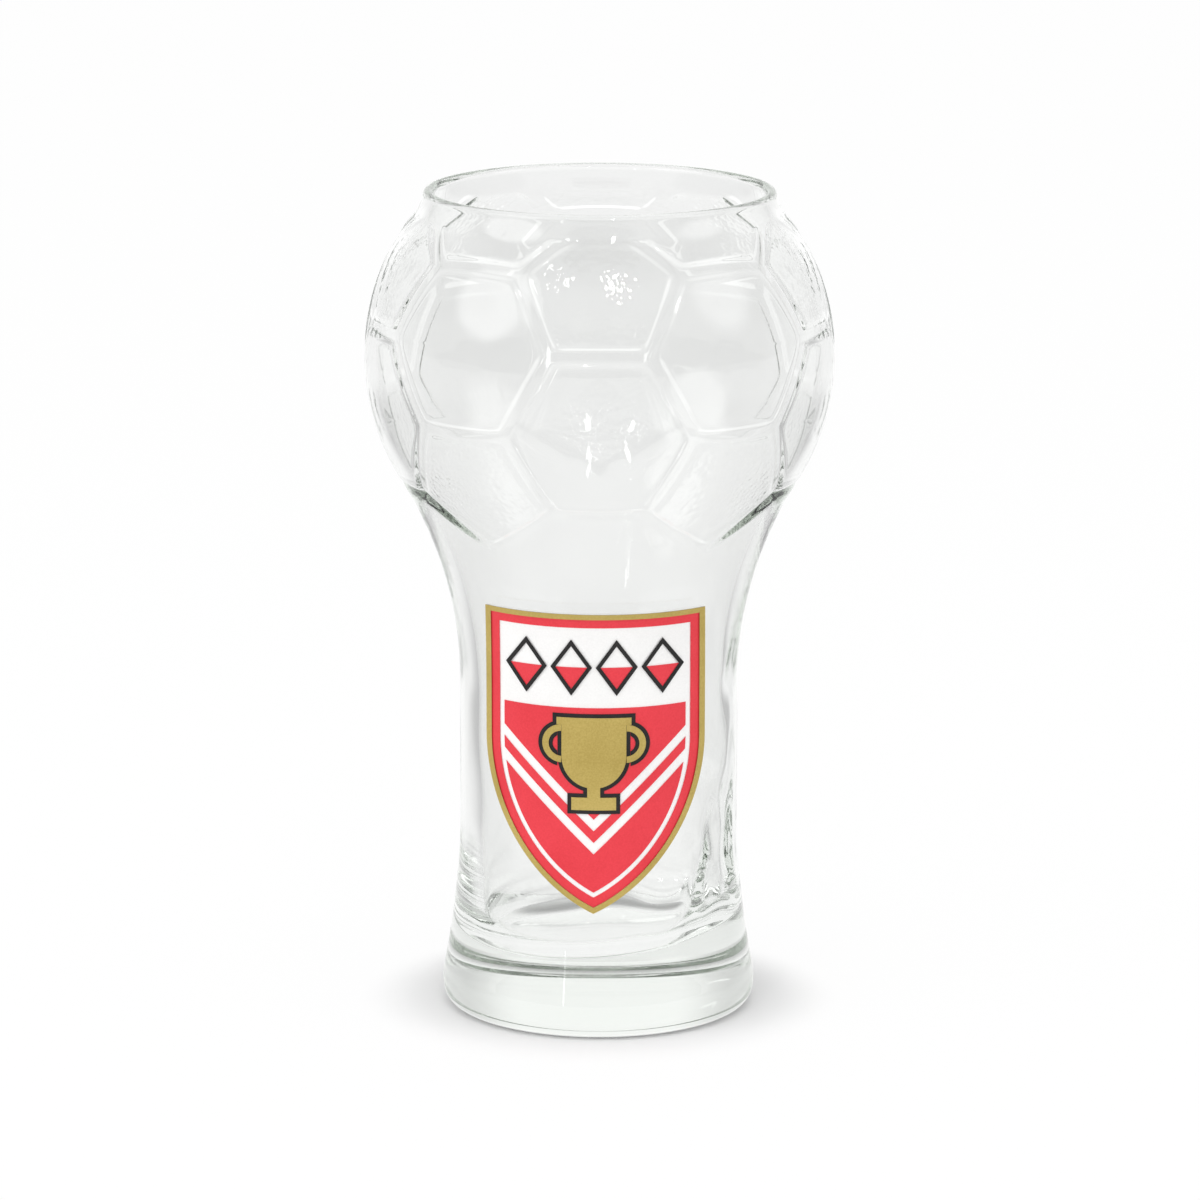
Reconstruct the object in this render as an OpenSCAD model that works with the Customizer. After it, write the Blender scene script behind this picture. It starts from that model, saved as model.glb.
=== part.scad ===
// Half-litre beer tumbler: a ball-shaped bowl with football panels on a waisted stem and a heavy foot,
// with a printed badge on the front of the stem. Millimetres, +Z up, table at z = 0, front towards -Y.

/* [Bowl] */
// Outer diameter of the ball-shaped bowl
bowl_d = 95; // [88:0.5:104]
// Height of the ball's centre above the table
bowl_z = 134.8; // [126:0.2:146]
// Wall of the bowl and the lip
bowl_wall = 2.4; // [1.8:0.1:3]

/* [Rim] */
// Outer diameter of the lip
rim_d = 71.4; // [64:0.2:76]
// Radius of the hollow where the bowl turns up into the lip
neck_r = 3.2; // [2:0.1:5]
// Straight height of the lip under its rounded edge
lip_h = 0.2; // [0.1:0.1:4]

/* [Stem] */
// Outer diameter of the waist
waist_d = 56.8; // [54:0.2:58.6]
// Wall of the stem at the waist
stem_wall = 3.6; // [2.6:0.1:4.6]
// Radius of the flare from the waist up into the bowl
flare_r = 78; // [66:1:90]
// Radius of the skirt from the waist down to the foot
skirt_r = 172; // [140:1:200]

/* [Foot] */
// Outer diameter at the widest part of the foot
foot_d = 64; // [61:0.2:67]
// Height of the widest part of the foot
foot_bulge_z = 5.2; // [4.4:0.1:7]
// Radius of the foot's rounded side
foot_bulge_r = 13; // [10:0.5:18]
// Radius of the edge that the glass stands on
foot_edge_r = 3.5; // [2:0.1:4.4]
// Thickness of the solid base under the drink
base_t = 13.5; // [9:0.5:18]
// Radius of the corner inside the base
floor_corner_r = 10; // [5:0.5:16]
// Diameter of the shallow hollow under the foot
punt_d = 48; // [36:1:52]
// Depth of the hollow under the foot
punt_depth = 1.2; // [0.6:0.1:2.4]

/* [Ball panels] */
// Width of the seams between panels
seam_w = 3.2; // [2:0.1:4.4]
// Width of the line where the panels end on the stem
border_line_w = 1.4; // [0.8:0.1:2.4]
// Depth of the seams
seam_depth = 0.6; // [0.3:0.1:0.9]
// Latitude of the upper pentagons' top corners
top_lat = 45; // [43:0.5:48]
// Latitude of the upper pentagons' side corners
upper_side_lat = 29; // [27:0.5:31]
// Half the angle between those side corners, around the axis
upper_side_turn = 22.2; // [20:0.2:24]
// Latitude of the upper pentagons' base corners
upper_base_lat = 9.4; // [8:0.2:11]
// Half the angle between those base corners
upper_base_turn = 12.2; // [11:0.2:13]
// Latitude of the lower pentagons' top corners
lower_top_lat = -10.9; // [-12:0.1:-9]
// Half the angle between those top corners
lower_top_turn = 12.2; // [11:0.2:13]
// Latitude of the lower pentagons' side corners
lower_side_lat = -30.3; // [-32:0.1:-28]
// Half the angle between those side corners
lower_side_turn = 22.4; // [20:0.2:24]
// Latitude of the lower pentagons' bottom corners
lower_tip_lat = -43; // [-45:0.5:-41]

/* [Printed badge] */
// Turn of the badge around the stem from the front
badge_turn = -2; // [-20:1:20]
// Height of the badge's lower tip above the table
badge_z = 26; // [22:0.5:30]
// Width of the badge, seen from the front
badge_w = 44; // [34:0.5:46]
// Height of the badge
badge_h = 62; // [52:0.5:64]
// Height of the straight sides above the tip
badge_shoulder = 35; // [30:0.5:42]
// Width of the gold border
border_w = 1.1; // [0.7:0.1:1.6]
// Width of the red band inside the border
band_w = 1.8; // [1.2:0.1:2.6]
// Width of the white lines
white_line_w = 0.9; // [0.6:0.1:1.4]
// Height of the white field at the top
chief_h = 15; // [11:0.5:18]
// Width of each diamond in the white field
diamond_w = 6.4; // [4:0.2:7]
// Height of each diamond
diamond_h = 9; // [5:0.2:10]
// Number of diamonds
diamond_count = 4; // [2:1:4]
// Width of the slanted white stripes
stripe_w = 2.4; // [1.4:0.1:3.2]
// Height of the cup figure
cup_h = 19; // [15:0.5:21]
// Width of the cup figure's bowl
cup_w = 13; // [10:0.5:15]
// Height of the straight sides of the cup figure's bowl
cup_side_h = 8; // [6:0.2:9]
// Height of the cup figure's rim
cup_rim_h = 1.5; // [1:0.1:2.2]
// Overhang of that rim on each side
cup_rim_over = 1; // [0.6:0.1:1.6]
// Width of the cup figure's stem
cup_stem_w = 2.6; // [1.6:0.1:3.6]
// Width of the cup figure's foot
cup_foot_w = 9; // [6:0.2:11]
// Height of the cup figure's foot
cup_foot_h = 2.6; // [1.8:0.1:3.4]
// Outer radius of the cup figure's handles
cup_handle_r = 3.9; // [3:0.1:4.4]
// Thickness of the handles
cup_handle_w = 1.3; // [1:0.1:1.6]
// Space above and below the cup figure
cup_clear = 2; // [1:0.1:3]
// Width of the black outlines
outline_w = 0.8; // [0.3:0.05:1]
// Thickness of one layer of ink
ink_t = 0.1; // [0.06:0.01:0.16]
// Clearance under each layer of ink
ink_gap = 0.02; // [0.01:0.01:0.04]

/* [Hidden] */
$fn = 96;

// Radii
bowl_r = bowl_d / 2;
inner_bowl_r = bowl_r - bowl_wall;
rim_r = rim_d / 2;
waist_r = waist_d / 2;
inner_waist_r = waist_r - stem_wall;
inner_flare_r = flare_r + stem_wall;
foot_r = foot_d / 2;
punt_r = punt_d / 2;

// The ball's pattern repeats this many times around the axis
sectors = 5;
sector_turn = 360 / sectors;
// Straight steps along one curve of the outline
curve_steps = 12;
// Room past the solids that a cut reaches
cut_over = 1;
// Reach of the seam cutters outside the ball, over the flare
seam_reach = 8;
// Length that a seam cutter runs on past each corner
seam_overrun = 0.4;
// Distance of the seams' upper ends below the neck
seam_top_clear = 0.8;
// Hairline between the cup figure and its handles
handle_gap = 0.06;

function arc_points(centre, r, from, to) = [
    for (i = [0:curve_steps])
        let (a = from + (to - from) * i / curve_steps)
            centre + r * [cos(a), sin(a)]
];

// Height of the centre of a curve that is upright at radius r and touches the ball
function tangent_drop(ball_r, r, curve_r) = sqrt(pow(ball_r + curve_r, 2) - pow(r + curve_r, 2));

// Centres of the curves, and the angles at which they meet the ball
ball_c = [0, bowl_z];
flare_c = [waist_r + flare_r, bowl_z - tangent_drop(bowl_r, waist_r, flare_r)];
flare_a = atan2(flare_c.y - bowl_z, flare_c.x);
inner_flare_c = [
    inner_waist_r + inner_flare_r,
    bowl_z - tangent_drop(inner_bowl_r, inner_waist_r, inner_flare_r)
];
inner_flare_a = atan2(inner_flare_c.y - bowl_z, inner_flare_c.x);
neck_c = [rim_r + neck_r, bowl_z + tangent_drop(bowl_r, rim_r, neck_r)];
neck_a = atan2(neck_c.y - bowl_z, neck_c.x);
lip_c = [rim_r - bowl_wall / 2, neck_c.y + lip_h];
lip_top = lip_c.y + bowl_wall / 2;

// The foot: its rounded side, the skirt above it and the edge below it
bulge_c = [foot_r - foot_bulge_r, foot_bulge_z];
skirt_reach = waist_r + skirt_r - bulge_c.x;
skirt_c = [waist_r + skirt_r, foot_bulge_z + sqrt(pow(skirt_r + foot_bulge_r, 2) - pow(skirt_reach, 2))];
skirt_a = atan2(skirt_c.y - bulge_c.y, skirt_reach);
edge_reach = sqrt(pow(foot_bulge_r - foot_edge_r, 2) - pow(foot_edge_r - foot_bulge_z, 2));
edge_c = [bulge_c.x + edge_reach, foot_edge_r];
edge_a = atan2(edge_c.y - bulge_c.y, edge_reach);

// Points up the outside of the stem, a distance grow outside the glass
function stem_side(grow) = concat(
    arc_points(skirt_c, skirt_r - grow, 180 + skirt_a, 180),
    arc_points(flare_c, flare_r - grow, 180, 180 + flare_a)
);

// Outside of the glass, shrunk by inset, filled to the axis
module outer_outline(inset = 0) {
    intersection() {
        translate(ball_c)
            circle(bowl_r - inset);
        translate([0, bowl_z - bowl_r])
            square([bowl_r, bowl_r + bowl_r * sin(neck_a)]);
    }
    polygon(concat(
        [[0, inset]],
        arc_points(edge_c, foot_edge_r - inset, -90, edge_a),
        arc_points(bulge_c, foot_bulge_r - inset, edge_a, skirt_a),
        stem_side(-inset),
        [ball_c]
    ));
}

// Lip and neck, from the ball up to the rounded edge
module lip_outline() {
    polygon(concat(
        [ball_c],
        arc_points(neck_c, neck_r, 180 + neck_a, 180),
        arc_points(lip_c, bowl_wall / 2, 0, 90),
        [[0, lip_top]]
    ));
}

// Space for the drink, open at the top
module drink_outline() {
    corner_c = [inner_waist_r - floor_corner_r, base_t + floor_corner_r];
    intersection() {
        translate(ball_c)
            circle(inner_bowl_r);
        translate([0, bowl_z - inner_bowl_r])
            square([inner_bowl_r, inner_bowl_r + inner_bowl_r * sin(neck_a)]);
    }
    polygon(concat(
        [[0, base_t]],
        arc_points(corner_c, floor_corner_r, -90, 0),
        arc_points(inner_flare_c, inner_flare_r, 180, 180 + inner_flare_a),
        [ball_c]
    ));
    polygon(concat(
        [ball_c],
        arc_points(neck_c, neck_r + bowl_wall, 180 + neck_a, 180),
        arc_points(lip_c, bowl_wall / 2, 180, 90),
        [[lip_c.x, lip_top + cut_over], [0, lip_top + cut_over]]
    ));
}

// A point of the ball's pattern, as latitude and turn around the axis
function direction(p) = [cos(p[0]) * sin(p[1]), -cos(p[0]) * cos(p[1]), sin(p[0])];

function seams_of_sector(turn) =
    let (
        next = turn + sector_turn,
        low = turn + sector_turn / 2,
        top = [top_lat, turn],
        side_l = [upper_side_lat, turn - upper_side_turn],
        side_r = [upper_side_lat, turn + upper_side_turn],
        next_side_l = [upper_side_lat, next - upper_side_turn],
        base_l = [upper_base_lat, turn - upper_base_turn],
        base_r = [upper_base_lat, turn + upper_base_turn],
        next_base_l = [upper_base_lat, next - upper_base_turn],
        low_top_l = [lower_top_lat, low - lower_top_turn],
        low_top_r = [lower_top_lat, low + lower_top_turn],
        low_side_l = [lower_side_lat, low - lower_side_turn],
        low_side_r = [lower_side_lat, low + lower_side_turn],
        next_low_side_l = [lower_side_lat, low + sector_turn - lower_side_turn],
        tip = [lower_tip_lat, low]
    )
    [
        [top, side_l, seam_w],
        [top, side_r, seam_w],
        [side_r, next_side_l, seam_w],
        [side_l, base_l, seam_w],
        [side_r, base_r, seam_w],
        [base_l, base_r, seam_w],
        [base_r, low_top_l, seam_w],
        [next_base_l, low_top_r, seam_w],
        [low_top_l, low_top_r, seam_w],
        [low_top_l, low_side_l, seam_w],
        [low_top_r, low_side_r, seam_w],
        [low_side_r, next_low_side_l, border_line_w],
        [low_side_l, tip, border_line_w],
        [low_side_r, tip, border_line_w]
    ];

// Flat cutter along the great circle between two corners of the pattern
module seam_plate(from, to, w) {
    a = direction(from);
    b = direction(to);
    middle = (a + b) / norm(a + b);
    along = (b - a) / norm(b - a);
    lat = asin(middle.z);
    turn = atan2(middle.y, middle.x);
    east = [-sin(turn), cos(turn), 0];
    north = [-sin(lat) * cos(turn), -sin(lat) * sin(turn), cos(lat)];
    half_angle = acos(a * middle);
    near = inner_bowl_r;
    far = bowl_r + seam_reach;
    near_y = near * tan(half_angle) + seam_overrun;
    far_y = far * tan(half_angle) + seam_overrun;
    translate([0, 0, bowl_z])
        rotate([0, -lat, turn])
            rotate([atan2(along * north, along * east), 0, 0])
                linear_extrude(w, center = true)
                    polygon([[near, -near_y], [far, -far_y], [far, far_y], [near, near_y]]);
}

// What the seams take out of the outside of the ball
module seam_cuts() {
    seam_top = bowl_z + bowl_r * sin(neck_a) - seam_top_clear;
    intersection() {
        difference() {
            union()
                for (sector = [0:sectors - 1])
                    for (s = seams_of_sector(sector * sector_turn))
                        seam_plate(s[0], s[1], s[2]);
            rotate_extrude()
                outer_outline(seam_depth);
        }
        cylinder(h = seam_top, r = bowl_r + seam_reach);
    }
}

module glass_body() {
    punt_sphere_r = (punt_r * punt_r + punt_depth * punt_depth) / (2 * punt_depth);
    color([0.86, 0.9, 0.88, 0.35])
        difference() {
            rotate_extrude()
                difference() {
                    union() {
                        outer_outline();
                        lip_outline();
                    }
                    drink_outline();
                }
            translate([0, 0, punt_depth - punt_sphere_r])
                sphere(punt_sphere_r);
            seam_cuts();
        }
}

// Shield seen from the front, tip at the origin, drawn in by inset on every side
module shield(inset = 0) {
    half_w = badge_w / 2;
    side_r = (pow(badge_shoulder, 2) + pow(half_w, 2)) / badge_w;
    translate([inset - half_w, badge_shoulder])
        square([badge_w - 2 * inset, badge_h - badge_shoulder - inset]);
    intersection() {
        translate([half_w - side_r, badge_shoulder])
            circle(side_r - inset);
        translate([side_r - half_w, badge_shoulder])
            circle(side_r - inset);
        translate([-half_w, 0])
            square([badge_w, badge_shoulder]);
    }
}

// Where the badge's fields begin
band_inset = border_w + band_w;
field_inset = band_inset + white_line_w;
chief_z = badge_h - field_inset - chief_h;
chief_middle = chief_z + chief_h / 2;
field_top = chief_z - white_line_w;
cup_z = field_top - cup_clear - cup_h;

// Row of diamonds across the white field, grown on every side
module diamonds(grow = 0) {
    pitch = (badge_w - 2 * field_inset) / diamond_count;
    side = norm([diamond_w, diamond_h]);
    half_w = diamond_w / 2 + grow * side / diamond_h;
    half_h = diamond_h / 2 + grow * side / diamond_w;
    for (i = [0:diamond_count - 1])
        translate([(i - (diamond_count - 1) / 2) * pitch, chief_middle])
            polygon([[half_w, 0], [0, half_h], [-half_w, 0], [0, -half_h]]);
}

// White stripes under the cup figure that rise to both sides of the red field
module stripes() {
    rise = badge_w / 2;
    for (side = [-1, 1])
        for (step = [0, 1])
            translate([0, cup_z - cup_clear - (2 * step + 1) * stripe_w])
                polygon([
                    [0, 0],
                    [side * rise, rise],
                    [side * rise, rise + stripe_w],
                    [0, stripe_w]
                ]);
}

// Rectangle on the badge, centred on its middle line, grown on every side
module bar(w, from, to, grow) {
    translate([-w / 2 - grow, from - grow])
        square([w + 2 * grow, to - from + 2 * grow]);
}

// Two-handled cup: bowl, rim, stem, foot and handles
module cup(grow = 0) {
    round_z = cup_h - cup_side_h;
    handle_c = [cup_w / 2, cup_h - cup_rim_h - cup_handle_r];
    translate([0, cup_z]) {
        intersection() {
            translate([0, round_z])
                circle(cup_w / 2 + grow);
            bar(cup_w, round_z - cup_w / 2, round_z, grow);
        }
        bar(cup_w, round_z, cup_h, grow);
        bar(cup_w + 2 * cup_rim_over, cup_h - cup_rim_h, cup_h, grow);
        bar(cup_stem_w, 0, round_z, grow);
        bar(cup_foot_w, 0, cup_foot_h, grow);
        for (side = [0, 1])
            mirror([side, 0])
                translate(handle_c)
                    intersection() {
                        difference() {
                            circle(cup_handle_r + grow);
                            circle(cup_handle_r - cup_handle_w - grow);
                        }
                        translate([grow + handle_gap, -cup_h])
                            square([cup_w, 2 * cup_h]);
                    }
    }
}

// Ink of one layer over the stem, cut to the flat shape drawn by its children
module ink(layer) {
    inside = ink_gap + layer * (ink_t + ink_gap);
    side_in = stem_side(inside);
    side_out = stem_side(inside + ink_t);
    last = len(side_out) - 1;
    rotate([0, 0, badge_turn])
        intersection() {
            rotate_extrude()
                polygon(concat(side_in, [for (i = [last:-1:0]) side_out[i]]));
            translate([0, 0, badge_z])
                rotate([90, 0, 0])
                    linear_extrude(bowl_r + cut_over)
                        children();
        }
}

module badge_white_ground() {
    color("white")
        ink(0)
            shield();
}

module badge_red_field() {
    color("crimson")
        ink(1) {
            difference() {
                shield(border_w);
                shield(band_inset);
            }
            difference() {
                intersection() {
                    shield(field_inset);
                    translate([-badge_w / 2, 0])
                        square([badge_w, field_top]);
                }
                stripes();
            }
            intersection() {
                diamonds();
                translate([-badge_w / 2, 0])
                    square([badge_w, chief_middle]);
            }
        }
}

module badge_black_outlines() {
    color("black")
        ink(2) {
            difference() {
                diamonds(outline_w);
                diamonds();
            }
            cup(outline_w);
        }
}

module badge_gold_trim() {
    color("darkgoldenrod")
        ink(3) {
            difference() {
                shield();
                shield(border_w);
            }
            cup();
        }
}

glass_body();
badge_white_ground();
badge_red_field();
badge_black_outlines();
badge_gold_trim();
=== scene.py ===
import math
from itertools import accumulate

import bmesh
import bpy
import numpy as np
from mathutils import Matrix, Vector, noise


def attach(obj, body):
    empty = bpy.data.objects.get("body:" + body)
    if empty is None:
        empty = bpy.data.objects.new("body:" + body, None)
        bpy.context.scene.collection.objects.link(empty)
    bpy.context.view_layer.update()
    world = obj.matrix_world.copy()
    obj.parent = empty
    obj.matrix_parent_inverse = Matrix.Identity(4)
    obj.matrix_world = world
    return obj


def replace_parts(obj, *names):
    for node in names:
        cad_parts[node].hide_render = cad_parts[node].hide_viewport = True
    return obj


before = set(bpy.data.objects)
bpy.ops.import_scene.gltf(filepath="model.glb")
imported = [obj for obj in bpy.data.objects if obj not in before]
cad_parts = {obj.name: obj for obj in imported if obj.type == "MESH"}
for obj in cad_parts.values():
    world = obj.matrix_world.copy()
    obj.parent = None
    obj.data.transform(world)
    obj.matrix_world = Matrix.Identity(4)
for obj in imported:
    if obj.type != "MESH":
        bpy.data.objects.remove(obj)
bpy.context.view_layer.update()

# Sizes in millimetres, as in the part's source; the mesh is scaled to metres when it is done
MM = 0.001
BALL_R = 47.47
BALL_Z = 134.8
BALL_C = (0, BALL_Z)
WALL = 2.4
WAIST_R = 28.4
STEM_WALL = 3.6
FLARE_R = 78.0
SKIRT_R = 172.0
FOOT_R = 32.0
FOOT_BULGE_Z = 5.2
FOOT_BULGE_R = 13.0
FOOT_EDGE_R = 3.5
BASE_T = 13.5
FLOOR_CORNER_R = 10.0
PUNT_R = 24.0
PUNT_DEPTH = 1.2
RIM_TOP = 168.7

# The ball's shoulder draws in a little before the hollow of the neck
SHOULDER_LAT = 20.0
SHOULDER_R = 39.4
NECK_R = 11.8
NECK_C = (47.2, 170.0)
LIP_R = 1.2

# Football pattern: latitude and turn of its corners, repeated five times round the axis
SECTORS = 5
SECTOR_TURN = 360 / SECTORS
TOP_LAT = 45.0
UPPER_SIDE = (29.0, 22.2)
UPPER_BASE = (9.4, 12.2)
LOWER_TOP = (-10.9, 12.2)
LOWER_SIDE = (-30.3, 22.4)
LOWER_TIP = -43.0
NECK_LAT = 39.5

# Seams between the panels: soft grooves with a round floor, which end at the neck and on the stem
SEAM_FLOOR = 0.8
SEAM_HALF = 2.3
SEAM_DEPTH = 0.34
SEAM_ROUNDING = 3.0
SEAM_TOP_LATS = (36.8, 39.2)
SEAM_END = (0.2, 1.8)

# Borders of the lowest panels: a step down, then a slow return onto the stem; above a latitude all is panel
BORDER_DEPTH = 0.42
BORDER_HALF = 0.9
RETURN_HALF = 2.4
PANELS_ONLY_LAT = -28.0
DEEP_INSIDE = 9.0

# At the back, all of it is shallower and the steps are wider; the change lies between shares of the radius
FAR_SHARE = 0.7
FAR_BORDER_HALF = 1.8
FAR_RETURN_HALF = 4.5
FRONT_SHARES = (-0.2, 0.3)

# The inside of the blown stem: uneven low down, mostly on the right, with a floor that rises to the right
UNEVEN_Z = (40, 90)
UNEVEN_X = (0, 20)
UNEVEN_LEFT = 0.2
UNEVEN_RIGHT = 1.8
LONG_WAVE = (11, 11, 22)
SHORT_WAVE = (7, 7, 9)
SHORT_WAVE_SHARE = 0.3
RISING_Z = (14, 48)
FLOOR_SLOPE = 0.085

# Stippled finish: how it sets in at a pentagon's edge, where it ends, and how it fades at the upper sides
STIPPLE_EDGE = (1.4, 3.2)
STIPPLE_TOP_LAT = 37.0
OUTER_SKIN = 1.2
SIDE_FADE = 0.6
SIDE_SHARES = (0.55, 0.75)
UPPER_SHARES = (-0.1, 0.1)

# How finely the net is cut: rings drawn into a panel, how deep each kind may be drawn, and pieces of a side
RING_STEPS = [0.4] * 2 + [0.25] * 6 + [0.5, 0.9, 1.8, 2.2, 2.4, 2.0]
PANEL_REACH = {
    "low_hexagon": 12.5, "low_pentagon": 10.5, "pentagon": 8.0, "hexagon": 12.5,
    "crown_left": 2.4, "crown_middle": 3.8, "crown_right": 2.4,
}
SIDE_PIECES = 18
NECK_PIECES = 6

# Tolerances: digits that tell corners apart, slack at the neck's circle, and distances that merge points
CORNER_DIGITS = 6
NECK_SLACK = 0.01
NET_MERGE = 1e-4
MESH_MERGE = 1e-5

# Rows from the border lines down to a level circle on the flare
BORDER_ROWS = [0.3] * 4 + [0.4] * 3
LEVEL_ROWS = 9
LEVEL_LAT = -50.0

# Pieces of each arc of the lathe, and radii of the rings under the foot and on the floor
FLARE_CUTS = 26
SKIRT_CUTS = 22
BULGE_CUTS = 12
FOOT_EDGE_CUTS = 10
NECK_CUTS = 8
LIP_CUTS = 16
INNER_NECK_CUTS = 10
SHOULDER_CUTS = 10
BALL_CUTS = 36
INNER_FLARE_CUTS = 22
STEM_CUTS = 18
FLOOR_CORNER_CUTS = 14
FOOT_RING_STEP = 2.0
PUNT_EDGE_STEP = 0.6
PUNT_EDGE_LIFT = 0.02
PUNT_RINGS = (22, 19, 15, 11, 7, 3.5, 1)
FLOOR_RINGS = (12, 9, 6, 3, 1)

# Clear glass: colour of its skin and of its body, and heights of the stipple's grains and the ripple
GLASS_TINTS = [(0.3, (0.93, 0.934, 0.929, 1)), (0.7, (0.95, 0.953, 0.949, 1))]
GLASS_BODY = (0.79, 0.825, 0.785, 1)
GLASS_DENSITY = 12.0
GLASS_IOR = 1.5
GRAIN_HEIGHT = 0.9
CRINKLE_HEIGHT = 0.5
RIPPLE_HEIGHT = 0.2
GLASS_ROUGHNESS = 0.002
SMEAR_ROUGHNESS = 0.02

# Enamels: darkest and lightest tone, and roughness
ENAMELS = {
    "badge_white_ground": ((0.87, 0.865, 0.855, 1), (0.93, 0.925, 0.915, 1), 0.32),
    "badge_red_field": ((0.74, 0.036, 0.052, 1), (0.82, 0.05, 0.07, 1), 0.3),
    "badge_black_outlines": ((0.006, 0.006, 0.006, 1), (0.02, 0.018, 0.018, 1), 0.3),
    "badge_gold_trim": ((0.42, 0.31, 0.075, 1), (0.54, 0.41, 0.12, 1), 0.35),
}
ENAMEL_TONE_STOPS = (0.35, 0.65)
ENAMEL_GRAIN_SHARE = 0.5
ENAMEL_GLOSS = 0.3
CLOUD_ROUGHNESS = 0.15

# Floor, in metres: white to the eye, grey paint for the shadow close to the foot
FLOOR_HALF = 6
FLOOR_PAINT = (0.9, 0.9, 0.9, 1)
FLOOR_WHITE = 0.95
FLOOR_CONTACT = (0.034, 0.05)
FLOOR_CONTACT_DROP = 0.9

# The floor as the glass shows it, a glow with light and shade painted in: a painted pool of light near by,
# painted shade beside a wedge, a painted shadow under the back of the foot, and a painted halo further out
GLOW_LEVEL = 0.95
PAINTED_POOL_NEAR = (0.3, 0.8)
PAINTED_POOL_GAIN = 0.08
WEDGE_BACK = 0.45
WEDGE_FRONT = -1.5
BESIDE_EDGE = (0.03, 0.12)
BESIDE_REACH = (0.35, 0.7)
BESIDE_DROP = 0.45
HALO_EDGE = (0.11, 0.2)
HALO_TURN = (0.2, 0.4)
HALO_GAIN = 0.18
FOOT_SHADE_REACH = (0.033, 0.037)
FOOT_SHADE_BACK = (0.022, 0.03)
FOOT_SHADE_DROP = 0.65

# The room: its light on the object, and its walls as the glass shows them, with a dark hood at the front
ROOM_LEVEL = 0.86
WALL_LEVEL = 1.14
HOOD_RISE = (0.65, 0.8)
HOOD_FORWARD = (-0.05, 0.15)
HOOD_DROP = 0.9
FRONT_TURN = (-0.25, 0.1)
FRONT_LEVEL = 0.5
SIDE_TURN = (0.3, 0.7)
SIDE_LEVEL = 0.7

# Lamps: sizes and distance in metres, direction from the bowl in degrees, softness as a share of the width
LAMPS = {
    "umbrella_left": {"size": 0.8, "radiance": 1.5, "turn": -62, "rise": 30, "distance": 1.0, "soft": 0.15},
    "softbox_right": {"size": 0.7, "radiance": 1.3, "turn": 72, "rise": 28, "distance": 1.0, "soft": 0.3},
    "top_front": {"size": 0.5, "radiance": 6.0, "turn": 0, "rise": 75, "distance": 1.0, "soft": 0.3,
                  "in_glass": False},
    "tube_left": {"size": 0.05, "height": 0.14, "radiance": 36, "turn": -25, "rise": 48, "distance": 1.2,
                  "soft": 0.1},
    "tube_right": {"size": 0.05, "height": 0.22, "radiance": 36, "turn": 10, "rise": 46, "distance": 1.2,
                   "soft": 0.1},
    "strip_left": {"size": 0.05, "height": 0.7, "radiance": 6, "turn": -25, "rise": 6, "distance": 1.3,
                   "soft": 0.3},
}
LAMP_MIDDLE = (0.5, 0.5, 0)
LAMP_EDGE = 0.5

# Camera: place in metres, angles in degrees, sensor in millimetres, focal length found on the photograph
CAMERA_PLACE = (0.00018, -1.2, 0.3536)
CAMERA_DOWN = 12.66
CAMERA_ROLL = 0.12
CAMERA_SENSOR = 36
PHOTO_WIDTH_PX = 1200
FOCAL_PX = 6038
CLIP_NEAR = 0.05
CLIP_FAR = 50
BOUNCES = 64


def polar(r, turn, centre=(0, 0)):
    """Point at a radius and an angle in degrees from a centre."""
    return (centre[0] + r * math.cos(math.radians(turn)), centre[1] + r * math.sin(math.radians(turn)))


def angle_to(start, end):
    """Angle in degrees of the line from one point to another."""
    return math.degrees(math.atan2(end[1] - start[1], end[0] - start[0]))


def arc(centre, r, start, end, pieces):
    """Points along an arc in the (radius, height) plane, without its first point."""
    return [polar(r, start + (end - start) * i / pieces, centre) for i in range(1, pieces + 1)]


def tangent_drop(ball_r, r, curve_r):
    """Height from the ball's centre to the centre of a curve that is upright at r and touches the ball."""
    return math.sqrt((ball_r + curve_r) ** 2 - (r + curve_r) ** 2)


def between(low, high, share):
    return low + (high - low) * share


def ramp(x, start, end):
    """0 before start, 1 after end, smooth between them."""
    t = np.minimum(np.maximum((x - start) / (end - start), 0), 1)
    return t * t * (3 - 2 * t)


FLARE_C = (WAIST_R + FLARE_R, BALL_Z - tangent_drop(BALL_R, WAIST_R, FLARE_R))
FLARE_LAT = angle_to(BALL_C, FLARE_C)
SHOULDER_C = polar(BALL_R - SHOULDER_R, SHOULDER_LAT, BALL_C)
NECK_START = polar(SHOULDER_R, angle_to(SHOULDER_C, NECK_C), SHOULDER_C)
NECK_START_LAT = angle_to(BALL_C, NECK_START)


def skin(lat):
    """Distance from the ball's centre to the outside of the glass, along directions of these latitudes."""
    c, s = np.cos(np.radians(lat)), np.sin(np.radians(lat))

    def meet(centre, r, side):
        a, b = centre[0], centre[1] - BALL_Z
        along = a * c + b * s
        return along + side * np.sqrt(np.maximum(along * along - (a * a + b * b - r * r), 0))

    out = np.full_like(lat, BALL_R)
    out = np.where(lat > SHOULDER_LAT, meet(SHOULDER_C, SHOULDER_R, 1), out)
    out = np.where(lat > NECK_START_LAT, meet(NECK_C, NECK_R, -1), out)
    return np.where(lat < FLARE_LAT, meet(FLARE_C, FLARE_R, -1), out)


def direction(lat, turn):
    """Unit vector from the ball's centre; a turn of 0 faces the front."""
    la, tu = math.radians(lat), math.radians(turn)
    return Vector((math.cos(la) * math.sin(tu), -math.cos(la) * math.cos(tu), math.sin(la)))


def latitude_on(a, b, lat, halvings=40):
    """The point of the great circle from a to b that has this latitude."""
    lo, hi = 0.0, 1.0
    for _ in range(halvings):
        mid = (lo + hi) / 2
        if a.slerp(b, mid).z < math.sin(math.radians(lat)):
            lo = mid
        else:
            hi = mid
    return a.slerp(b, lo)


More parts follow.
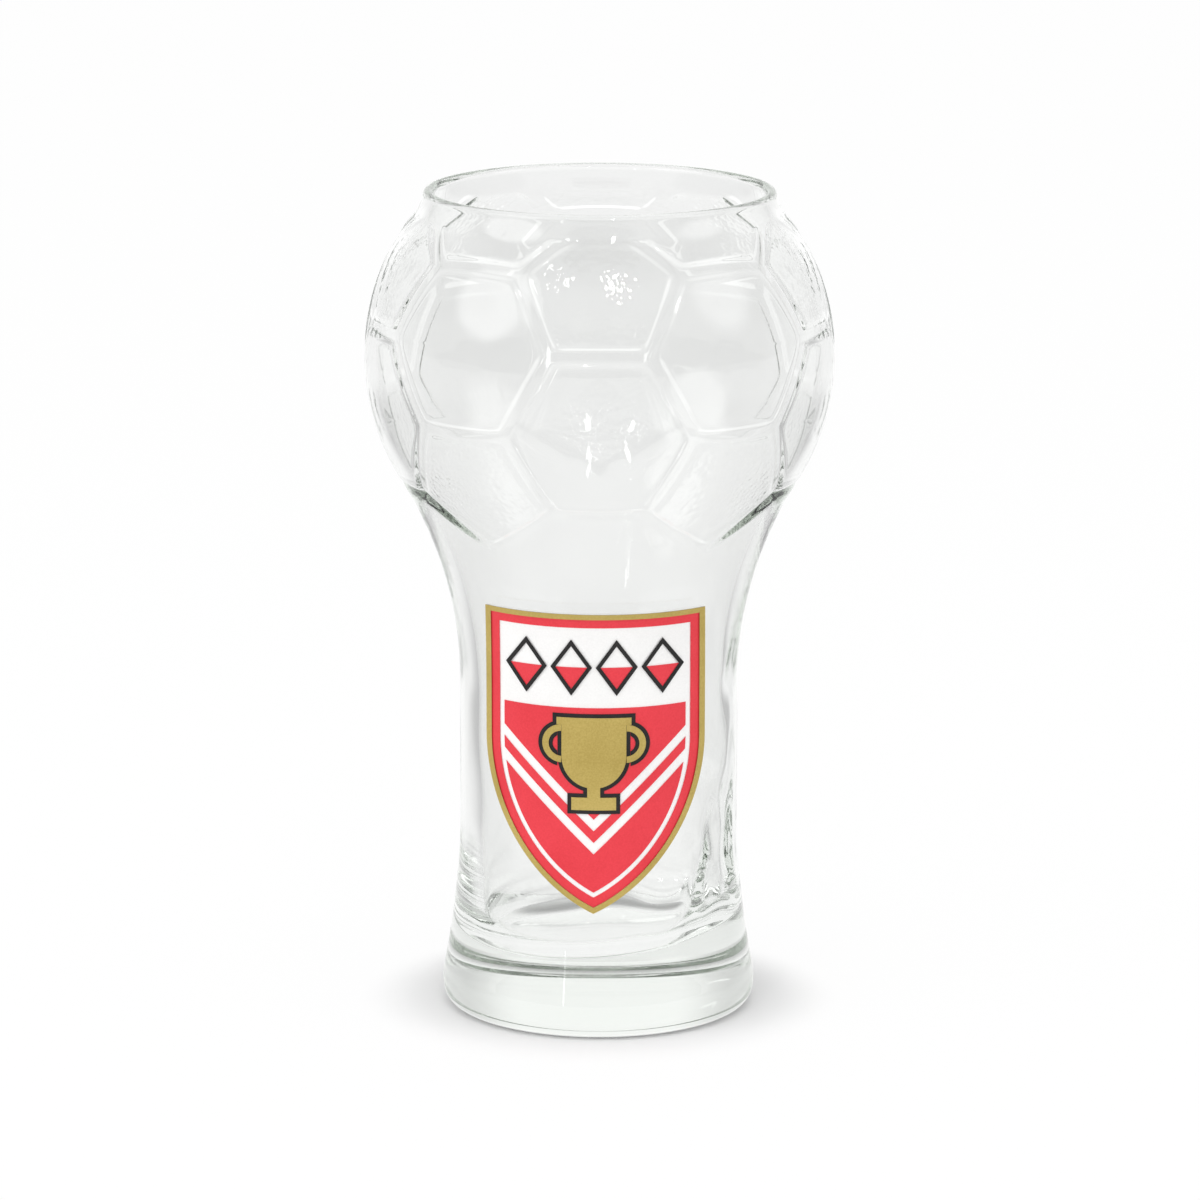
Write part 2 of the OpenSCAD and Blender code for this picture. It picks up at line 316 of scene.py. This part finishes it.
def corners(sector):
    """The pattern's corners that belong to one sector."""
    turn = sector * SECTOR_TURN
    low_turn = turn + SECTOR_TURN / 2
    pairs = {
        "side": (UPPER_SIDE, turn), "base": (UPPER_BASE, turn),
        "low_top": (LOWER_TOP, low_turn), "low_side": (LOWER_SIDE, low_turn),
    }
    c = {"top": direction(TOP_LAT, turn), "tip": direction(LOWER_TIP, low_turn)}
    for name, ((lat, half), middle) in pairs.items():
        c[name + "_l"] = direction(lat, middle - half)
        c[name + "_r"] = direction(lat, middle + half)
    for hand in ("_l", "_r"):
        c["neck" + hand] = latitude_on(c["side" + hand], c["top"], NECK_LAT)
    return c


SECTOR = [corners(k) for k in range(SECTORS)]


def following(k):
    return SECTOR[(k + 1) % SECTORS]


def preceding(k):
    return SECTOR[(k - 1) % SECTORS]


def neck_between(a, b, pieces):
    """Points between two points of the neck's circle."""
    ta, tb = math.atan2(a.x, -a.y), math.atan2(b.x, -b.y)
    if tb < ta:
        tb += 2 * math.pi
    return [direction(NECK_LAT, math.degrees(ta + (tb - ta) * i / pieces)) for i in range(1, pieces)]


def panels_of(k):
    """The outlines of one sector's panels, anticlockwise from outside; the one under the lip is in three."""
    c, n, p = SECTOR[k], following(k), preceding(k)
    neck_middle = neck_between(c["neck_l"], c["neck_r"], pieces=2)
    rim = neck_between(c["neck_r"], n["neck_l"], pieces=5)
    return {
        "low_hexagon": [c["base_l"], p["low_top_r"], p["low_side_r"],
                        c["low_side_l"], c["low_top_l"], c["base_r"]],
        "low_pentagon": [c["low_top_l"], c["low_side_l"], c["tip"], c["low_side_r"], c["low_top_r"]],
        "pentagon": [c["side_l"], c["base_l"], c["base_r"], c["side_r"],
                     c["neck_r"], *neck_middle, c["neck_l"]],
        "hexagon": [c["side_r"], c["base_r"], c["low_top_l"], c["low_top_r"], n["base_l"], n["side_l"]],
        "crown_left": [c["side_r"], rim[1], rim[0], c["neck_r"]],
        "crown_middle": [c["side_r"], n["side_l"], rim[2], rim[1]],
        "crown_right": [n["side_l"], n["neck_l"], rim[3], rim[2]],
    }


def seams_of(k):
    """One sector's seams between panels."""
    c, n = SECTOR[k], following(k)
    return [
        (c["top"], c["side_l"]), (c["top"], c["side_r"]), (c["side_r"], n["side_l"]),
        (c["side_l"], c["base_l"]), (c["side_r"], c["base_r"]), (c["base_l"], c["base_r"]),
        (c["base_r"], c["low_top_l"]), (n["base_l"], c["low_top_r"]), (c["low_top_l"], c["low_top_r"]),
        (c["low_top_l"], c["low_side_l"]), (c["low_top_r"], c["low_side_r"]),
    ]


def borders_of(k):
    """One sector's lines where the panels end on the stem."""
    c, p = SECTOR[k], preceding(k)
    return [(p["low_side_r"], c["low_side_l"]), (c["low_side_l"], c["tip"]), (c["tip"], c["low_side_r"])]


def circle_normal(a, b):
    """Unit normal of the great circle through two points."""
    n = np.cross(a, b)
    return n / np.linalg.norm(n)


def arc_distance(points, a, b):
    """Distance over the ball from unit vectors to the great-circle arc between a and b."""
    a, b = np.array(a), np.array(b)
    n = circle_normal(a, b)
    off = np.abs(np.arcsin(np.clip(points @ n, -1, 1)))
    inside = (points @ np.cross(n, a) > 0) & (points @ np.cross(b, n) > 0)
    ends = np.minimum(np.arccos(np.clip(points @ a, -1, 1)), np.arccos(np.clip(points @ b, -1, 1)))
    return BALL_R * np.where(inside, off, ends)


def line_distance(points, lines_of):
    """Distance to the nearest of all sectors' lines, rounded where two are alike."""
    d = np.array([arc_distance(points, a, b) for k in range(SECTORS) for a, b in lines_of(k)])
    least = d.min(axis=0)
    return least - np.log(np.exp(-SEAM_ROUNDING * (d - least)).sum(axis=0)) / SEAM_ROUNDING


def inside_panel(points, outline):
    """How far inside a panel's outline unit vectors lie, over the ball; negative outside."""
    ends = [np.array(v) for v in outline]
    sides = zip(ends, ends[1:] + ends[:1])
    depths = [np.arcsin(np.clip(points @ circle_normal(a, b), -1, 1)) for a, b in sides]
    return BALL_R * np.min(depths, axis=0)


def inside_any(points, names):
    """How far inside the nearest panel of these names unit vectors lie."""
    outlines = [panels_of(k)[name] for k in range(SECTORS) for name in names]
    return np.max([inside_panel(points, outline) for outline in outlines], axis=0)


def gather(bm):
    return np.array([v.co for v in bm.verts])


def scatter(bm, co):
    for v, c in zip(bm.verts, co):
        v.co = c


def ends_of(edges):
    return {v for e in edges for v in e.verts}


def open_edges(bm, z):
    """The open edges above a height, and those below it."""
    edges = [e for e in bm.edges if e.is_boundary]
    above = [e for e in edges if e.verts[0].co.z > z]
    below = [e for e in edges if e.verts[0].co.z < z]
    return above, below


def grown_rings(bm, loop, rows):
    """Carries an open edge loop on through rows, each a function from a vertex to its next place."""
    for row in rows:
        made = bmesh.ops.extrude_edge_only(bm, edges=loop)["geom"]
        loop = [e for e in made if isinstance(e, bmesh.types.BMEdge) and e.is_boundary]
        for v in ends_of(loop):
            v.co = row(v.co)
    return loop


def ring_at(r, z, stray=None):
    """A row of the lathe: same turn round the axis, new radius and height, and how it strays from round."""
    def place(co):
        flat = Vector((co.x, co.y, 0))
        flat.normalize()
        at = Vector((flat.x * r, flat.y * r, z))
        return at + stray(at, flat) if stray else at
    return place


def stem_row(step, share):
    """A row of the net below the border lines: a step down, then a share of the way to the level circle."""
    def place(co):
        d = co.normalized()
        lat, turn = math.degrees(math.asin(d.z)), math.degrees(math.atan2(d.x, -d.y))
        down = lat - math.degrees(step / BALL_R)
        return direction(between(down, LEVEL_LAT, share), turn) * BALL_R
    return place


def close_pole(bm, loop):
    verts = list(ends_of(loop))
    z = sum(v.co.z for v in verts) / len(verts)
    bmesh.ops.pointmerge(bm, verts=verts, merge_co=(0, 0, z))


def drawn_panels(bm):
    """The panels as flat outlines, drawn in ring by ring; gives each one's middle face and count of rings."""
    made = {}

    def vertex(v):
        key = tuple(round(x, CORNER_DIGITS) for x in v)
        if key not in made:
            made[key] = bm.verts.new(v * BALL_R)
        return made[key]

    middles = []
    for k in range(SECTORS):
        for name, outline in panels_of(k).items():
            face = bm.faces.new([vertex(v) for v in outline])
            reach = PANEL_REACH[name]
            steps = [step for step, drawn in zip(RING_STEPS, accumulate(RING_STEPS)) if drawn <= reach]
            for step in steps:
                bmesh.ops.inset_individual(bm, faces=[face], thickness=step, depth=0, use_even_offset=True)
            middles.append((face, len(steps)))
    return middles


def football_net(bm):
    """The ball's panels, cut along their sides into a fine net."""
    middles = drawn_panels(bm)

    # From the middle of each panel outwards, edge by edge, to tell the neck's edges from the rest
    neck_z = BALL_R * math.sin(math.radians(NECK_LAT)) - NECK_SLACK
    sides, necks = set(), set()
    for face, rings in middles:
        for loop in face.loops:
            chain = [loop.edge]
            for _ in range(rings):
                loop = loop.link_loop_radial_next.link_loop_next.link_loop_next
                chain.append(loop.edge)
            at_neck = min(v.co.z for v in chain[-1].verts) > neck_z
            (necks if at_neck else sides).update(chain)
    bmesh.ops.poke(bm, faces=[face for face, _ in middles])
    bmesh.ops.subdivide_edges(bm, edges=list(sides), cuts=SIDE_PIECES - 1)
    bmesh.ops.subdivide_edges(bm, edges=list(necks), cuts=NECK_PIECES - 1)
    bmesh.ops.remove_doubles(bm, verts=bm.verts, dist=NET_MERGE)


def sink_seams(bm):
    """Brings the net from its flat outlines onto the ball, with the seams and border steps sunk in."""
    co = gather(bm)
    p = co / np.linalg.norm(co, axis=1)[:, None]
    lat = np.degrees(np.arcsin(np.clip(p[:, 2], -1, 1)))
    near = ramp(-p[:, 1] / np.cos(np.radians(lat)), *FRONT_SHARES)
    on_panel = inside_any(p, ("low_hexagon", "low_pentagon"))
    on_panel = np.where(lat > PANELS_ONLY_LAT, DEEP_INSIDE, on_panel)
    groove = SEAM_DEPTH * (1 - ramp(line_distance(p, seams_of), SEAM_FLOOR, SEAM_HALF))
    groove *= (1 - ramp(lat, *SEAM_TOP_LATS)) * (1 - ramp(-on_panel, *SEAM_END))
    step_half = between(FAR_BORDER_HALF, BORDER_HALF, near)
    return_half = between(FAR_RETURN_HALF, RETURN_HALF, near)
    step = 1 - ramp(line_distance(p, borders_of) / np.where(on_panel > 0, step_half, return_half), 0, 1)
    sunk = np.maximum(groove, BORDER_DEPTH * step) * between(FAR_SHARE, 1, near)
    scatter(bm, p * (skin(lat) - sunk)[:, None] + np.array([0, 0, BALL_Z]))


def outside_profile(start_z):
    """From a height on the flare down the stem to the foot, round its edge and under it."""
    bulge_c = (FOOT_R - FOOT_BULGE_R, FOOT_BULGE_Z)
    skirt_x = WAIST_R + SKIRT_R
    skirt_rise = math.sqrt((SKIRT_R + FOOT_BULGE_R) ** 2 - (skirt_x - bulge_c[0]) ** 2)
    skirt_c = (skirt_x, FOOT_BULGE_Z + skirt_rise)
    skirt_a = angle_to(bulge_c, skirt_c)
    edge_reach = math.sqrt((FOOT_BULGE_R - FOOT_EDGE_R) ** 2 - (FOOT_EDGE_R - FOOT_BULGE_Z) ** 2)
    edge_c = (bulge_c[0] + edge_reach, FOOT_EDGE_R)
    edge_a = angle_to(bulge_c, edge_c)
    start_a = math.degrees(math.asin((start_z - FLARE_C[1]) / FLARE_R))
    punt_curve_r = (PUNT_R ** 2 + PUNT_DEPTH ** 2) / (2 * PUNT_DEPTH)

    path = arc(FLARE_C, FLARE_R, 180 - start_a, 180, FLARE_CUTS)
    path += arc(skirt_c, SKIRT_R, 180, 180 + skirt_a, SKIRT_CUTS)
    path += arc(bulge_c, FOOT_BULGE_R, skirt_a, edge_a, BULGE_CUTS)
    path += arc(edge_c, FOOT_EDGE_R, edge_a, -90, FOOT_EDGE_CUTS)
    path += [(edge_c[0] - FOOT_RING_STEP, 0), (PUNT_R + PUNT_EDGE_STEP, 0), (PUNT_R, PUNT_EDGE_LIFT)]
    path += [(r, PUNT_DEPTH - punt_curve_r + math.sqrt(punt_curve_r ** 2 - r * r)) for r in PUNT_RINGS]
    return path


def inside_profile():
    """From the neck over the lip, down the inside of the bowl and the stem, and across the floor."""
    start_z = BALL_Z + float(skin(np.array([NECK_LAT]))[0]) * math.sin(math.radians(NECK_LAT))
    start_a = math.degrees(math.asin((NECK_C[1] - start_z) / NECK_R))
    lip_z = RIM_TOP - LIP_R
    lip_drop = NECK_C[1] - lip_z
    outer_a = math.degrees(math.asin(lip_drop / (NECK_R + LIP_R)))
    lip_c = (polar(NECK_R + LIP_R, 180 + outer_a, NECK_C)[0], lip_z)
    neck_r = NECK_R + WALL
    inner_a = math.degrees(math.asin(lip_drop / (neck_r - LIP_R)))
    neck_c = (polar(neck_r - LIP_R, inner_a, lip_c)[0], NECK_C[1])
    shoulder_a = angle_to(SHOULDER_C, neck_c)
    shoulder_r = math.dist(SHOULDER_C, neck_c) - neck_r
    ball_r = BALL_R - WALL
    waist_r = WAIST_R - STEM_WALL
    flare_r = FLARE_R + STEM_WALL
    flare_c = (waist_r + flare_r, BALL_Z - tangent_drop(ball_r, waist_r, flare_r))
    flare_a = angle_to(BALL_C, flare_c)
    corner_c = (waist_r - FLOOR_CORNER_R, BASE_T + FLOOR_CORNER_R)

    path = arc(NECK_C, NECK_R, 180 + start_a, 180 + outer_a, NECK_CUTS)
    path += arc(lip_c, LIP_R, outer_a, 180 + inner_a, LIP_CUTS)
    path += arc(neck_c, neck_r, 180 + inner_a, 180 + shoulder_a, INNER_NECK_CUTS)
    path += arc(SHOULDER_C, shoulder_r, shoulder_a, SHOULDER_LAT, SHOULDER_CUTS)
    path += arc(BALL_C, ball_r, SHOULDER_LAT, flare_a, BALL_CUTS)
    path += arc(flare_c, flare_r, 180 + flare_a, 180, INNER_FLARE_CUTS)
    path += [(waist_r, between(flare_c[1], corner_c[1], i / STEM_CUTS)) for i in range(1, STEM_CUTS + 1)]
    path += arc(corner_c, FLOOR_CORNER_R, 0, -90, FLOOR_CORNER_CUTS)
    path += [(r, BASE_T) for r in FLOOR_RINGS]
    return path


def uneven(at, flat):
    """How far the inside of the blown stem strays outwards, and its floor upwards, at a point."""
    def wave(lengths):
        return noise.noise(Vector([x / length for x, length in zip(at, lengths)]))

    strength = between(UNEVEN_LEFT, UNEVEN_RIGHT, ramp(at.x, *UNEVEN_X)) * (1 - ramp(at.z, *UNEVEN_Z))
    out = (wave(LONG_WAVE) + SHORT_WAVE_SHARE * wave(SHORT_WAVE)) * strength
    return Vector((flat.x * out, flat.y * out, FLOOR_SLOPE * at.x * (1 - ramp(at.z, *RISING_Z))))


def stipple_share(bm):
    """How much of the stippled finish each point has: all pentagons, the upper ones at the sides less."""
    co = gather(bm) - np.array([0, 0, BALL_Z])
    length = np.linalg.norm(co, axis=1)
    p = co / length[:, None]
    share = ramp(inside_any(p, ("low_pentagon", "pentagon")), *STIPPLE_EDGE)
    share *= (length > BALL_R - OUTER_SKIN) * (p[:, 2] < math.sin(math.radians(STIPPLE_TOP_LAT)))
    return share * (1 - SIDE_FADE * ramp(np.abs(p[:, 0]), *SIDE_SHARES) * ramp(p[:, 2], *UPPER_SHARES))


def finish_mesh(bm, name):
    """Scales to metres, makes the object at the origin and sets it on the frame."""
    bmesh.ops.scale(bm, vec=(MM, MM, MM), verts=bm.verts)
    mesh = bpy.data.meshes.new(name)
    bm.to_mesh(mesh)
    bm.free()
    for p in mesh.polygons:
        p.use_smooth = True
    obj = bpy.data.objects.new(name, mesh)
    bpy.context.scene.collection.objects.link(obj)
    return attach(obj, "root")


def make_glass():
    """The whole glass as one closed mesh: net, stem, foot, lip, inside."""
    bm = bmesh.new()
    football_net(bm)
    top, bottom = open_edges(bm, 0)
    neck = direction(NECK_LAT, 0)
    to_neck = ring_at(BALL_R * math.hypot(neck.x, neck.y), BALL_R * neck.z)
    for v in ends_of(top):
        v.co = to_neck(v.co)
    rows = [stem_row(step, 0) for step in BORDER_ROWS]
    rows += [stem_row(0, 1 / (LEVEL_ROWS - i)) for i in range(LEVEL_ROWS)]
    low_loop = grown_rings(bm, bottom, rows)
    sink_seams(bm)

    low_z = low_loop[0].verts[0].co.z
    close_pole(bm, grown_rings(bm, low_loop, [ring_at(r, z) for r, z in outside_profile(low_z)]))
    top, _ = open_edges(bm, BALL_Z)
    close_pole(bm, grown_rings(bm, top, [ring_at(r, z, uneven) for r, z in inside_profile()]))
    bmesh.ops.remove_doubles(bm, verts=bm.verts, dist=MESH_MERGE)
    bmesh.ops.recalc_face_normals(bm, faces=bm.faces)

    stipple = stipple_share(bm)
    glass = finish_mesh(bm, "glass_body_visual")
    attribute = glass.data.attributes.new("stipple", "FLOAT", "POINT")
    attribute.data.foreach_set("value", stipple.astype(np.float32))
    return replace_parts(glass, "glass_body")


class Wire:
    """A shader socket that takes part in sums."""

    def __init__(self, tree, socket):
        self.tree = tree
        self.socket = socket

    def math(self, operation, a, b):
        node = self.tree.nodes.new("ShaderNodeMath")
        node.operation = operation
        feed(self.tree, node.inputs[0], a)
        feed(self.tree, node.inputs[1], b)
        return Wire(self.tree, node.outputs[0])

    def __add__(self, other):
        return self.math("ADD", self, other)

    def __radd__(self, other):
        return self.math("ADD", other, self)

    def __sub__(self, other):
        return self.math("SUBTRACT", self, other)

    def __rsub__(self, other):
        return self.math("SUBTRACT", other, self)

    def __mul__(self, other):
        return self.math("MULTIPLY", self, other)

    def __rmul__(self, other):
        return self.math("MULTIPLY", other, self)

    def __truediv__(self, other):
        return self.math("DIVIDE", self, other)

    def __rtruediv__(self, other):
        return self.math("DIVIDE", other, self)


def feed(tree, socket, value):
    """Links a wire to a socket, or sets a plain value there."""
    if isinstance(value, Wire):
        tree.links.new(value.socket, socket)
    else:
        socket.default_value = value


class Finish:
    """The nodes of a material, a lamp or the world."""

    def __init__(self, owner):
        self.owner = owner
        self.owner.use_nodes = True
        self.tree = self.owner.node_tree
        self.tree.nodes.clear()

    def node(self, kind, settings=None, out=0, **sockets):
        """Any node, with its settings; sockets go by name, with _ for a space, or by place, as i0 and i1."""
        n = self.tree.nodes.new("ShaderNode" + kind)
        for key, value in (settings or {}).items():
            if key == "stops":
                for element, (place, colour) in zip(n.color_ramp.elements, value):
                    element.position = place
                    element.color = colour
            else:
                setattr(n, key, value)
        for key, value in sockets.items():
            by_place = key[0] == "i" and key[1:].isdigit()
            feed(self.tree, n.inputs[int(key[1:]) if by_place else key.replace("_", " ")], value)
        return Wire(self.tree, n.outputs[out]) if n.outputs else None

    def place(self):
        return self.node("TexCoord", out="Object")

    def axis(self, name, vector):
        return self.node("SeparateXYZ", out=name, Vector=vector)

    def size_of(self, value):
        return self.node("Math", {"operation": "ABSOLUTE"}, i0=value)

    def falling(self, value, span, low=0.0):
        """1 up to the start of a span, falling smoothly to low at its end."""
        return self.node("MapRange", {"interpolation_type": "SMOOTHSTEP"}, Value=value, From_Min=span[0],
                         From_Max=span[1], To_Min=1.0, To_Max=low)

    def rays(self):
        """1 for rays that the glass bends or mirrors, and 1 for rays from the camera."""
        bent = self.node("LightPath", out="Is Glossy Ray") + self.node("LightPath", out="Is Transmission Ray")
        camera = self.node("LightPath", out="Is Camera Ray")
        return self.node("Math", {"operation": "MINIMUM"}, i0=bent, i1=1.0), camera


def glass_finish():
    """Clear glass with a stippled finish on the pentagons, a faint ripple and slight smears."""
    f = Finish(bpy.data.materials.new("clear_glass"))
    place = f.place()
    stipple = f.node("Attribute", {"attribute_name": "stipple"}, "Fac")
    grains = f.node("TexVoronoi", {"feature": "SMOOTH_F1"}, "Distance", Vector=place, Scale=800,
                    Smoothness=0.6)
    crinkle = f.node("TexNoise", Vector=place, Scale=600, Detail=2)
    ripple = f.node("TexNoise", Vector=place, Scale=45, Detail=1)
    height = stipple * (grains * GRAIN_HEIGHT + crinkle * CRINKLE_HEIGHT) + ripple * RIPPLE_HEIGHT
    bump = f.node("Bump", Strength=0.22, Distance=0.0004, Height=height)
    smear = f.node("TexNoise", Vector=place, Scale=30, Detail=3)
    tint = f.node("ValToRGB", {"stops": GLASS_TINTS}, Fac=smear)
    surface = f.node("BsdfPrincipled", Base_Color=tint, Roughness=smear * SMEAR_ROUGHNESS + GLASS_ROUGHNESS,
                     IOR=GLASS_IOR, Transmission_Weight=1.0, Normal=bump)
    body = f.node("VolumeAbsorption", Color=GLASS_BODY, Density=GLASS_DENSITY)
    f.node("OutputMaterial", Surface=surface, Volume=body)
    return f.owner


def enamel_finish(name, dark, light, roughness):
    """Fired screen print: a fine mesh grain, small differences of tone and a satin gloss."""
    f = Finish(bpy.data.materials.new(name))
    place = f.place()
    grain = f.node("TexNoise", Vector=place, Scale=2600, Detail=2)
    cloud = f.node("TexNoise", Vector=place, Scale=90, Detail=2)
    stops = list(zip(ENAMEL_TONE_STOPS, (dark, light)))
    mottle = grain * ENAMEL_GRAIN_SHARE + cloud * (1 - ENAMEL_GRAIN_SHARE)
    tone = f.node("ValToRGB", {"stops": stops}, Fac=mottle)
    bump = f.node("Bump", Strength=0.15, Distance=0.00005, Height=grain)
    surface = f.node("BsdfPrincipled", Base_Color=tone, Roughness=cloud * CLOUD_ROUGHNESS + roughness,
                     Specular_IOR_Level=ENAMEL_GLOSS, Normal=bump)
    f.node("OutputMaterial", Surface=surface)
    return f.owner


def dress(obj, material):
    obj.data.materials.clear()
    obj.data.materials.append(material)


def pale_floor():
    """Matt paint that takes the shadow at the foot, and white elsewhere to the camera; to the glass, a
    near-white glow with painted light and painted shade.
    """
    f = Finish(bpy.data.materials.new("pale_floor"))
    bent, camera = f.rays()
    place = f.place()
    across = f.size_of(f.axis("X", place))
    behind = f.axis("Y", place)
    away = f.node("VectorMath", {"operation": "LENGTH"}, "Value", i0=place)
    wedge = f.node("Math", {"operation": "MAXIMUM"}, i0=behind * WEDGE_BACK, i1=behind * WEDGE_FRONT)
    # Painted shade beside the wedge, a painted halo of light further out, and a painted shadow under the back
    # of the foot
    painted_shade_beside = (1 - f.falling(across - wedge, BESIDE_EDGE)) * f.falling(away, BESIDE_REACH)
    painted_halo = (1 - f.falling(across, HALO_EDGE)) * f.falling(across / away, HALO_TURN)
    painted_foot_shade = f.falling(away, FOOT_SHADE_REACH) * (1 - f.falling(behind, FOOT_SHADE_BACK))
    # A painted pool of light near the foot on the glow's even level; glass rays alone see this painted light
    # and shade
    painted_glow = GLOW_LEVEL + PAINTED_POOL_GAIN * f.falling(away, PAINTED_POOL_NEAR)
    painted_glow *= (1 - painted_shade_beside * BESIDE_DROP) * (1 + painted_halo * HALO_GAIN) * (1 - painted_foot_shade * FOOT_SHADE_DROP)
    paint = f.node("BsdfDiffuse", Color=FLOOR_PAINT)
    white = f.node("Emission", Color=painted_glow * bent + camera, Strength=1.0)
    clear = FLOOR_WHITE - FLOOR_CONTACT_DROP * f.falling(away, FLOOR_CONTACT)
    both = f.node("MixShader", i0=bent + camera * clear, i1=paint, i2=white)
    f.node("OutputMaterial", Surface=both)
    return f.owner


def studio_world():
    """White to the camera, an even light on the object, and walls with a hood in the glass."""
    world = bpy.data.worlds.new("studio")
    bpy.context.scene.world = world
    w = Finish(world)
    bent, camera = w.rays()
    ray = w.node("TexCoord", out="Generated")
    forward = 0 - w.axis("Y", ray)
    hood = (1 - w.falling(w.axis("Z", ray), HOOD_RISE)) * (1 - w.falling(forward, HOOD_FORWARD))
    side = w.falling(w.size_of(w.axis("X", ray)), SIDE_TURN, SIDE_LEVEL)
    walls = WALL_LEVEL * (1 - hood * HOOD_DROP) * w.falling(forward, FRONT_TURN, FRONT_LEVEL) * side
    level = ROOM_LEVEL + camera * (1 - ROOM_LEVEL) + bent * (walls - ROOM_LEVEL)
    sky = w.node("Background", Color=level, Strength=1.0)
    w.node("OutputWorld", Surface=sky)


def lamp(name, size, radiance, turn, rise, distance, soft, height=None, in_glass=True):
    """A lamp that shines on the bowl, by its direction from there; its power gives it that brightness."""
    aim = Vector((0, 0, BALL_Z * MM))
    place = aim + direction(rise, turn) * distance
    data = bpy.data.lights.new(name, "AREA")
    data.shape = "ELLIPSE"
    data.size = size
    data.size_y = height or size
    data.energy = radiance * math.pi * data.size * data.size_y * math.pi / 4
    f = Finish(data)
    across = f.node("NewGeometry", out="Parametric")
    middle = f.node("VectorMath", {"operation": "DISTANCE"}, "Value", i0=across, i1=LAMP_MIDDLE)
    glow = f.node("Emission", Color=f.falling(middle, (LAMP_EDGE - soft, LAMP_EDGE)), Strength=1.0)
    f.node("OutputLight", Surface=glow)
    obj = bpy.data.objects.new(name, data)
    obj.location = place
    obj.rotation_euler = (aim - place).to_track_quat("-Z", "Y").to_euler()
    obj.visible_camera = False
    obj.visible_glossy = in_glass
    obj.visible_transmission = in_glass
    bpy.context.scene.collection.objects.link(obj)


def make_floor():
    bm = bmesh.new()
    bmesh.ops.create_grid(bm, x_segments=1, y_segments=1, size=FLOOR_HALF)
    mesh = bpy.data.meshes.new("floor")
    bm.to_mesh(mesh)
    bm.free()
    floor = bpy.data.objects.new("floor", mesh)
    bpy.context.scene.collection.objects.link(floor)
    dress(floor, pale_floor())


def make_camera():
    data = bpy.data.cameras.new("camera")
    data.sensor_width = CAMERA_SENSOR
    data.lens = FOCAL_PX / PHOTO_WIDTH_PX * CAMERA_SENSOR
    data.clip_start = CLIP_NEAR
    data.clip_end = CLIP_FAR
    camera = bpy.data.objects.new("camera", data)
    tilt = Matrix.Rotation(math.radians(90 - CAMERA_DOWN), 4, "X")
    roll = Matrix.Rotation(math.radians(CAMERA_ROLL), 4, "Z")
    camera.matrix_world = Matrix.Translation(CAMERA_PLACE) @ tilt @ roll
    bpy.context.scene.collection.objects.link(camera)
    bpy.context.scene.camera = camera


def make_stage():
    """Pale floor, white surroundings, soft lamps and the camera, with enough bounces for thick glass."""
    make_floor()
    studio_world()
    for name, facts in LAMPS.items():
        lamp(name, **facts)
    make_camera()
    scene = bpy.context.scene
    scene.view_settings.view_transform = "Standard"
    scene.cycles.max_bounces = BOUNCES
    scene.cycles.transmission_bounces = BOUNCES
    scene.cycles.glossy_bounces = BOUNCES


glass = make_glass()
dress(glass, glass_finish())
for node_name, (dark, light, roughness) in ENAMELS.items():
    dress(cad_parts[node_name], enamel_finish(node_name + "_enamel", dark, light, roughness))
make_stage()
